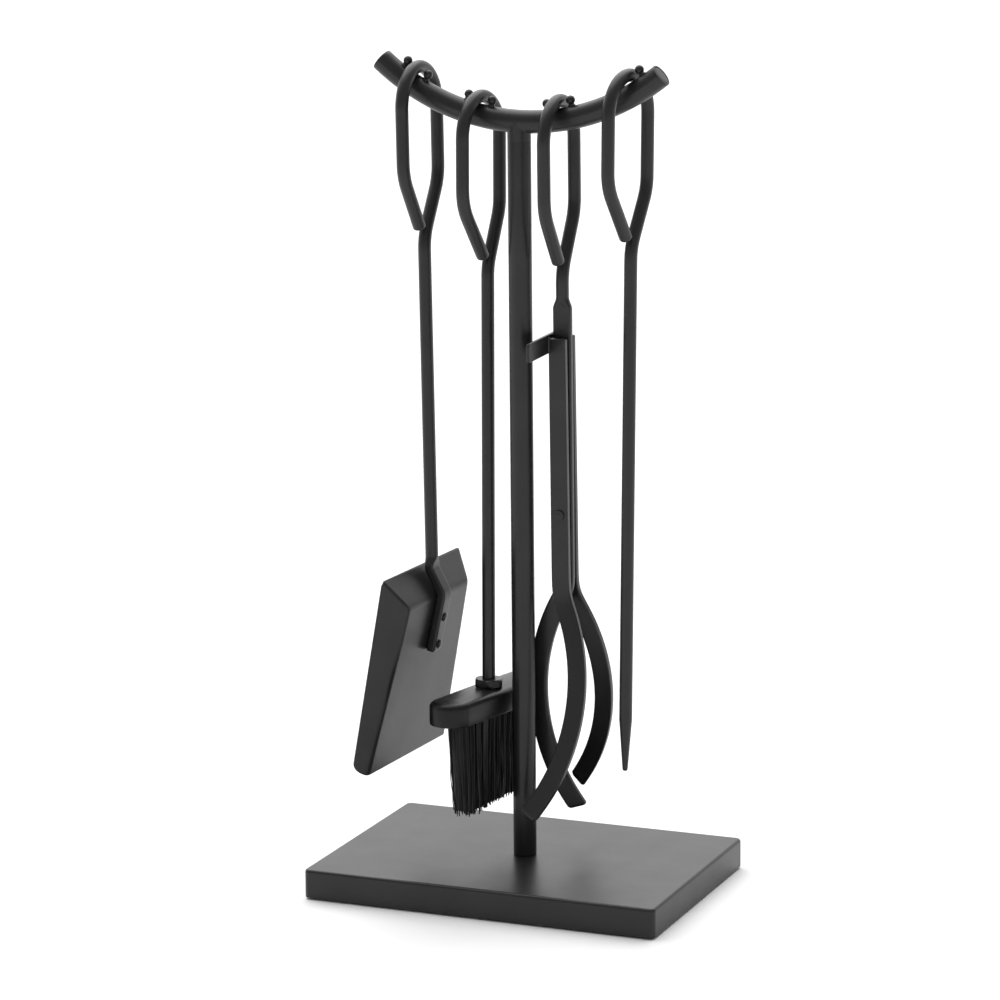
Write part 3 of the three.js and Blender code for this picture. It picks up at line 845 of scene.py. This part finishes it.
def brush_block():
    """The brush's head: a long block with round ends, a full round edge above and a slightly crowned top."""
    length, width, height = BRUSH_HEAD["length"], BRUSH_HEAD["width"], BRUSH_HEAD["height"]
    crown, shoulder = 1.0 * MM, 7 * MM

    def outline(inset):
        return stadium(length - 2 * inset, width - 2 * inset)

    profile = [(8 * MM, -height), (1.8 * MM, -height)]
    profile += [(0.7 * MM, -height + 0.4 * MM), (0, -height + 1.6 * MM)]
    for step in range(9):
        angle = step / 8 * math.pi / 2
        inset = shoulder * (1 - math.cos(angle))
        profile.append((inset, -crown - 5.5 * MM * (1 - math.sin(angle))))
    for share in (0.45, 0.6, 0.75, 0.9):
        profile.append((share * width / 2, -crown + crown * math.sin((share - 0.33) / 0.6 * math.pi / 2)))
    mesh = add_rings(bmesh.new(), prism_rings(outline, profile))
    piece("brush_block", mesh, "brush", "black_lacquer", ["brush_head"], brush_place())


def brush_nut():
    """A hexagonal nut with its corners chamfered, more above than below."""
    radius, height = BRUSH_NUT["radius"], BRUSH_NUT["height"]
    chamfer = 1.7 * MM
    sides = 72
    limits = [(0, radius - 1.6 * MM), (chamfer * 0.5, radius - 0.7 * MM), (chamfer, radius)]
    limits += [(height - chamfer, radius), (height - chamfer * 0.5, radius - 0.9 * MM)]
    limits += [(height, radius - 2.2 * MM), (height, radius - 3.5 * MM)]
    rings = []
    for level, limit in limits:
        ring = []
        for side in range(sides):
            turn = 2 * math.pi * side / sides
            flat = radius * math.cos(math.pi / 6) / math.cos((turn % (math.pi / 3)) - math.pi / 6)
            reach = min(flat, limit)
            ring.append(Vector((reach * math.cos(turn), reach * math.sin(turn), level + GAP)))
        rings.append(ring)
    mesh = add_rings(bmesh.new(), rings)
    piece("brush_hex_nut", mesh, "brush", "powder_coat", ["brush_nut"], brush_place())


def bristle_strand(mesh, start, end, radius, waves, chance):
    """One wavy tuft of fibres from start to end, thinning to its tip."""
    steps, sides = 12, 5
    phase = chance.uniform(0, 2 * math.pi)
    turn = chance.uniform(0, 2 * math.pi)
    swing = Vector((math.cos(turn), math.sin(turn), 0)) * chance.uniform(0.4, 1.8) * MM
    rings = []
    for step in range(steps + 1):
        share = step / steps
        centre = start.lerp(end, share) + swing * share * math.sin(phase + waves * share)
        reach = radius * (1 - 0.4 * share)
        ring = []
        for side in range(sides):
            angle = turn + 2 * math.pi * side / sides
            ring.append(centre + Vector((math.cos(angle), math.sin(angle), 0)) * reach)
        rings.append(ring)
    add_rings(mesh, rings)


def bundle_reach(along):
    """How long the fibres are along the brush, from -1 in front to 1 at the back: longest in front."""
    front = max(-along, 0)
    return BRISTLES["height"] + BRISTLES["droop"] * front ** 2 - 0.3 * BRISTLES["droop"] * max(along, 0)


def bristles():
    """Rows of wavy tufts, drawn in towards their uneven tips in front and spread at the back."""
    chance = random.Random(7)
    length, width, taper, back_flare = (BRISTLES[k] for k in ("length", "width", "taper", "back_flare"))
    top = -BRUSH_HEAD["height"] + 0.5 * MM
    mesh = bmesh.new()
    count_y, count_x = 52, 12
    for row in range(count_y):
        for column in range(count_x):
            along = (row + chance.uniform(0.05, 0.95)) / count_y * 2 - 1
            aside = (column + chance.uniform(0.05, 0.95)) / count_x * 2 - 1
            end_zone = max(abs(along) - (1 - width / length), 0) / (width / length)
            if aside ** 2 + end_zone ** 2 > 1:
                continue
            clump = noise.noise(Vector((aside * 2.2, along * 9, 3.1))) * 3 * MM
            reach = bundle_reach(along) + 2.5 * MM * noise.noise(Vector((aside * 3, along * 12, 0)))
            reach -= 2 * MM + abs(chance.gauss(0, 0.5 * MM))
            start = Vector((aside * width / 2, along * length / 2, top))
            lengthwise = taper + (back_flare - taper) * (along + 1) / 2
            narrow = taper - 0.02 * chance.random()
            tip = Vector((start.x * narrow + clump * 0.5, start.y * lengthwise + clump, top - reach))
            bristle_strand(mesh, start, tip, chance.uniform(0.6, 1.15) * MM, chance.uniform(4, 10), chance)
    return mesh


def bristle_core():
    """The dark inside of the bundle, so that no light passes between the tufts."""
    length, width, taper = (BRISTLES[k] for k in ("length", "width", "taper"))
    top = -BRUSH_HEAD["height"] + 0.5 * MM
    rings = []
    for share in (0, 0.25, 0.5, 0.75, 0.95):
        narrow = 1 - (1 - taper) * share
        outline = stadium((length - 5 * MM) * narrow, (width - 5 * MM) * narrow)
        rings.append([Vector((x, y, top - share * bundle_reach(2 * y / length))) for x, y in outline])
    return add_rings(bmesh.new(), rings)


def brush():
    place = tool_place("brush")
    rod_end = BRUSH_HEAD["depth"] + 4 * MM
    mesh = tool_bar("brush", [rod_end], [])
    handle = piece("brush_bar", mesh, "brush", "powder_coat", ["brush_handle"], place)
    remeshed(handle, 0.7 * MM, 4)
    brush_nut()
    brush_block()
    piece("bristle_tufts", bristles(), "brush", "bristle", ["brush_bristles"], brush_place(), 80)
    piece("bristle_core", bristle_core(), "brush", "bristle", (), brush_place())


# ---- Tongs ----

def prong_points(prong, side_x, splay, start, steps=44):
    """The arc of a prong's centre line below its kink. side_x is 1 where it bows to the right."""
    radius, kink = prong["radius"], prong["kink"]
    turn = Matrix.Rotation(splay, 3, "X")
    points = []
    for step in range(1, steps + 1):
        angle = kink - prong["length"] / radius * step / steps
        across = side_x * radius * (math.cos(angle) - math.cos(kink))
        down = radius * (math.sin(kink) - math.sin(angle))
        points.append(start + turn @ Vector((across, 0, -down)))
    return points


def softened(points, passes=3):
    """Rounds the sharpest turns of a line by moving each point towards its neighbours."""
    for _ in range(passes):
        inner = [(a + 2 * b + c) / 4 for a, b, c in zip(points, points[1:], points[2:])]
        points = [points[0], *inner, points[-1]]
    return points


def tongs_arm(side, name, node):
    """An outer arm: straight and flat down to the kink, then splayed outwards and curved back."""
    start = Vector((0, HANG["tongs"]["rod"] + side * TONGS["spacing"], -OUTER_PRONG["from"]))
    top = Vector((TONGS["arm_top_shift"], start.y, -TONGS["arm_top"]))
    straight = spaced([top, start], 6 * MM)
    points = straight + prong_points(OUTER_PRONG, 1, side * OUTER_PRONG["splay"], start)
    points = [points[0], points[0].lerp(points[1], 0.9), *softened(points, 6)[2:]]
    sizes = []
    for i in range(len(points)):
        widening = (TONGS["arm_width"] - TONGS["arm_top_width"]) * min(i / (len(straight) - 1), 1)
        sizes.append((TONGS["arm_top_width"] + widening, TONGS["thickness"], 1.3 * MM))
    slant = BACK_SLANT if side > 0 else 0
    mesh = bar_mesh(points, sizes, edge=0.9 * MM, end_corners=(1.5 * MM, 4 * MM), slant=slant)
    piece(name, mesh, "tongs_jaw", "powder_coat", [node], tool_place("tongs"))


def tongs_centre():
    """The tongs' own bar: loop, rod, the forged flat between the arms, and the centre prong."""
    rod = HANG["tongs"]["rod"]
    neck_top = Vector((0, rod, -TONGS["flare_from"]))
    flat_top = Vector((0, rod, -TONGS["flare_to"]))
    kink = Vector((0, rod, -CENTRE_PRONG["from"]))
    neck = [neck_top.lerp(flat_top, s / 6) for s in range(1, 6)]
    flat = spaced([flat_top, kink], 6 * MM)
    prong = prong_points(CENTRE_PRONG, -1, 0, kink)
    flat_and_prong = softened(flat + prong)
    size = (TONGS["centre_width"], TONGS["thickness"], 1.6 * MM)
    sizes = [blended_size(round_size(WELDED_RADIUS), size, s / 6) for s in range(1, 6)]
    sizes += [size] * len(flat_and_prong)
    mesh = tool_bar("tongs", [TONGS["flare_from"], *neck, *flat_and_prong], sizes, 3 * MM, BACK_SLANT)
    nodes = ["tongs_handle", "tongs_centre_arm"]
    handle = piece("tongs_bar", mesh, "tongs", "powder_coat", nodes, tool_place("tongs"))
    remeshed(handle, 0.7 * MM, 4)


def tongs_lever():
    """The thumb lever: a strip along the left edges of the outer arms, with its weld beads."""
    back = TONGS["spacing"] + TONGS["thickness"] / 2
    length = LEVER["reach"] + 2 * back
    thickness, height = LEVER["thickness"], LEVER["height"]
    x = TONGS["arm_top_shift"] - TONGS["arm_top_width"] / 2 - 2 * GAP - thickness / 2
    middle = Vector((x, HANG["tongs"]["rod"] + back - length / 2, -LEVER["depth"]))

    def outline(inset):
        return rounded_outline(height - 2 * inset, length - 2 * inset, 3 * MM - inset)

    edge = 0.8 * MM
    upper = edge_profile(thickness / 2, edge, 4)
    lower = [(inset, -level) for inset, level in reversed(upper)]
    profile = [(edge + 1 * MM, -thickness / 2), *lower, *upper, (edge + 1 * MM, thickness / 2)]
    mesh = add_rings(bmesh.new(), prism_rings(outline, profile))
    place = tool_place("tongs") @ Matrix.Translation(middle) @ Matrix.Rotation(math.pi / 2, 4, "Y")
    piece("tongs_thumb_lever", mesh, "tongs_jaw", "powder_coat", ["tongs_lever"], place)
    for side in (-1, 1):
        lever_weld(side, x + thickness / 2)


def lever_weld(side, x):
    """A short bead in the corner between the lever and an arm's outer face."""
    y = HANG["tongs"]["rod"] + side * (TONGS["spacing"] + TONGS["thickness"] / 2 - 0.2 * MM)
    points, sizes = [], []
    steps = 24
    for step in range(steps + 1):
        share = step / steps
        z = -LEVER["depth"] + LEVER["height"] * 0.42 * (1 - 2 * share)
        swell = 0.55 + 0.45 * math.sin(math.pi * share) ** 0.5 + 0.08 * math.sin(40 * share)
        points.append(Vector((x + 2 * GAP + 0.3 * MM, y, z)))
        sizes.append(round_size(1.7 * MM * swell))
    mesh = bar_mesh(points, sizes, edge=0.6 * MM)
    name = "tongs_weld_front" if side < 0 else "tongs_weld_back"
    piece(name, mesh, "tongs_jaw", "powder_coat", (), tool_place("tongs"))


def tongs_pin():
    half = TONGS["spacing"] + TONGS["thickness"] / 2 + GAP
    for side, name in ((-1, "tongs_pin_front"), (1, "tongs_pin_back")):
        head = lathe(dome_profile(TONGS_PIN["head"], TONGS_PIN["height"] * 1.3), 36)
        seat = Vector((0, HANG["tongs"]["rod"] + side * (half - 0.2 * MM), -TONGS["rivet"]))
        place = tool_place("tongs") @ Matrix.Translation(seat) @ Matrix.Rotation(-side * math.pi / 2, 4, "X")
        piece(name, head, "tongs", "powder_coat", (), place)


def tongs():
    tongs_centre()
    tongs_arm(-1, "tongs_arm_near", "tongs_front_arm")
    tongs_arm(1, "tongs_arm_far", "tongs_back_arm")
    tongs_lever()
    tongs_pin()


# ---- Poker ----

def poker():
    rod = HANG["poker"]["rod"]
    start, end = POKER["taper_from"], POKER["tip"]
    points, sizes = [start], []
    steps = 16
    for step in range(1, steps + 1):
        share = step / steps
        points.append(Vector((0, rod, -start - (end - start) * share)))
        sizes.append(round_size(WELDED_RADIUS + (POKER["tip_radius"] - WELDED_RADIUS) * share))
    mesh = tool_bar("poker", points, sizes, 1 * MM)
    handle = piece("poker_bar", mesh, "poker", "powder_coat", ["poker"], tool_place("poker"))
    remeshed(handle, 0.7 * MM, 4)


# ---- Studio ----

def camera():
    """The camera looks a little down on the set from its front right."""
    azimuth, elevation, roll = math.radians(22.646), math.radians(11.923), math.radians(-0.548)
    distance, aside, height = 3.8633, -0.02124, 0.38192
    backward = Vector((
        math.sin(azimuth) * math.cos(elevation),
        -math.cos(azimuth) * math.cos(elevation),
        math.sin(elevation),
    ))
    right = Vector((math.cos(azimuth), math.sin(azimuth), 0))
    up = backward.cross(right)
    target = right * aside + Z_AXIS * height
    rolled_right = right * math.cos(roll) + up * math.sin(roll)
    rolled_up = up * math.cos(roll) - right * math.sin(roll)
    data = bpy.data.cameras.new("camera")
    data.sensor_width = 36
    data.lens = 145.508
    thing = bpy.data.objects.new("camera", data)
    turn = Matrix((rolled_right, rolled_up, backward)).transposed().to_4x4()
    thing.matrix_world = Matrix.Translation(target + backward * distance) @ turn
    bpy.context.scene.collection.objects.link(thing)
    bpy.context.scene.camera = thing


def studio_world():
    """Soft light that is bright behind and above the set, and dim on the camera's side."""
    world = bpy.data.worlds.new("studio")
    world.use_nodes = True
    nodes, links = world.node_tree.nodes, world.node_tree.links
    coordinates = nodes.new("ShaderNodeTexCoord")
    towards = nodes.new("ShaderNodeVectorMath")
    towards.operation = "DOT_PRODUCT"
    towards.inputs[1].default_value = (-0.5, 0.66, 0.5)
    links.new(coordinates.outputs["Generated"], towards.inputs[0])
    spread = nodes.new("ShaderNodeMapRange")
    spread.interpolation_type = "SMOOTHSTEP"
    for name, value in (("From Min", 0.0), ("From Max", 0.85), ("To Min", 0.42), ("To Max", 1.35)):
        spread.inputs[name].default_value = value
    links.new(towards.outputs["Value"], spread.inputs["Value"])
    links.new(spread.outputs["Result"], nodes["Background"].inputs["Strength"])
    nodes["Background"].inputs["Color"].default_value = (1, 1, 1, 1)
    bpy.context.scene.world = world


def studio_sun():
    """A very wide sun from behind, high on the left."""
    data = bpy.data.lights.new("sun", "SUN")
    data.energy = 2.0
    data.angle = math.radians(70)
    thing = bpy.data.objects.new("sun", data)
    thing.rotation_euler = Vector((0.25, -0.45, -1)).to_track_quat("-Z", "Y").to_euler()
    bpy.context.scene.collection.objects.link(thing)


def studio():
    studio_world()
    studio_sun()
    reach = 40
    mesh = bmesh.new()
    bmesh.ops.create_grid(mesh, x_segments=4, y_segments=4, size=reach)
    data = bpy.data.meshes.new("floor")
    mesh.to_mesh(data)
    mesh.free()
    data.materials.append(studio_floor())
    floor = bpy.data.objects.new("floor", data)
    bpy.context.scene.collection.objects.link(floor)
    bpy.context.scene.view_settings.view_transform = "Standard"


# ---- Everything ----

def materials_on_cad_nodes():
    """The nodes that stay as they are take their slot's material."""
    slots = {row["node"]: row["material_slot"] for row in frame["record"]["subparts"]}
    for name, node in frame["nodes"].items():
        node.data.materials.clear()
        node.data.materials.append(MATERIALS[slots[name]])


camera()
materials_on_cad_nodes()
stand()
shovel()
brush()
tongs()
poker()
studio()
